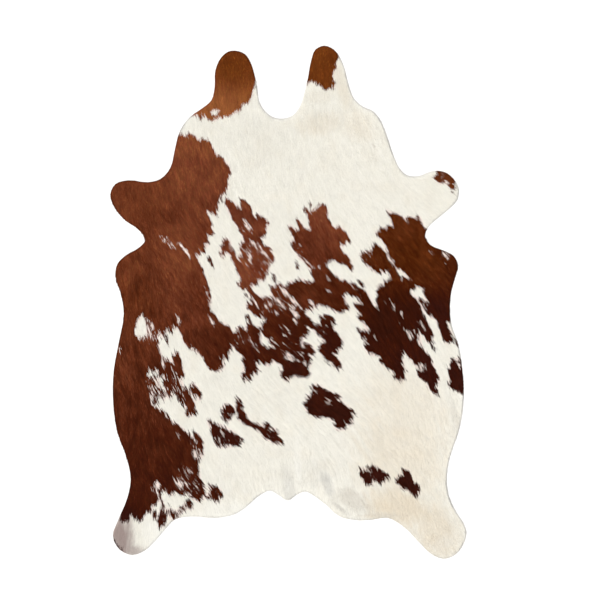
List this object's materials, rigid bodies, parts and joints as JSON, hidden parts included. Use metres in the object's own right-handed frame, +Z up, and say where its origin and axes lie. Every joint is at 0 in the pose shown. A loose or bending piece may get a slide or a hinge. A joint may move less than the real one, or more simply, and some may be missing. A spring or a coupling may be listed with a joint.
{
  "type": "cutout cowhide rug",
  "caption": "Flat hair-on cowhide rug cut to the whole hide's outline, with neck lobes and leg lobes, brown patches on ivory hair.",
  "frame": {"origin": "middle of the hide's bounding box, on the floor under it", "axes": "+Y towards the neck along the animal's back, +X towards the right of the hide seen from the hair side, +Z up out of the hair"},
  "size_m": [1.497, 2.157, 0.0082],
  "materials": {
    "hair_on_hide": "short silky hair, satin"
  },
  "bodies": {
    "root": {"hide": "hair_on_hide"}
  },
  "joints": []
}
